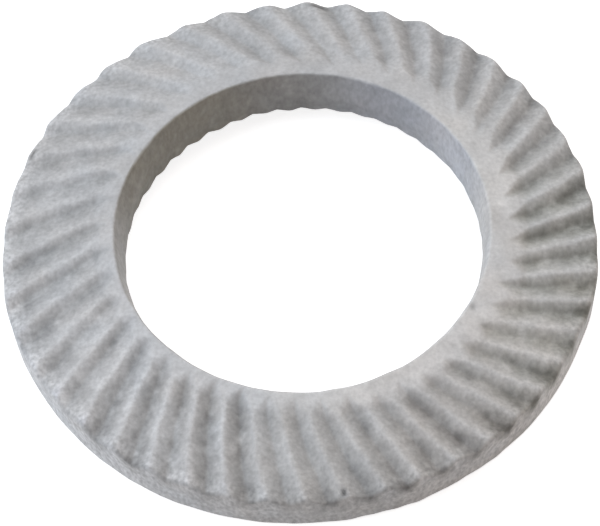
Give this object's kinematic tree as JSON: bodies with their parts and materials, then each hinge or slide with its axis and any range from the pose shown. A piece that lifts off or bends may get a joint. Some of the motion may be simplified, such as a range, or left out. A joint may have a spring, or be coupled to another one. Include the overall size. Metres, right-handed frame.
{
  "type": "ribbed conical lock washer",
  "caption": "Dished spring-steel lock washer, bore edge raised, with slanted sawtooth ribs on both faces that bite when a screw turns back.",
  "frame": {"origin": "on the washer's axis, in the plane of the rim's lowest circle, on which it lies", "axes": "+Z along the bore, towards the raised bore edge, where the screw head bears"},
  "size_m": [0.01, 0.01, 0.0013],
  "materials": {
    "plated_steel": "matt light-grey zinc-flake coating with a fine sandy grain"
  },
  "bodies": {
    "root": {"ribbed_washer": "plated_steel"}
  },
  "joints": []
}
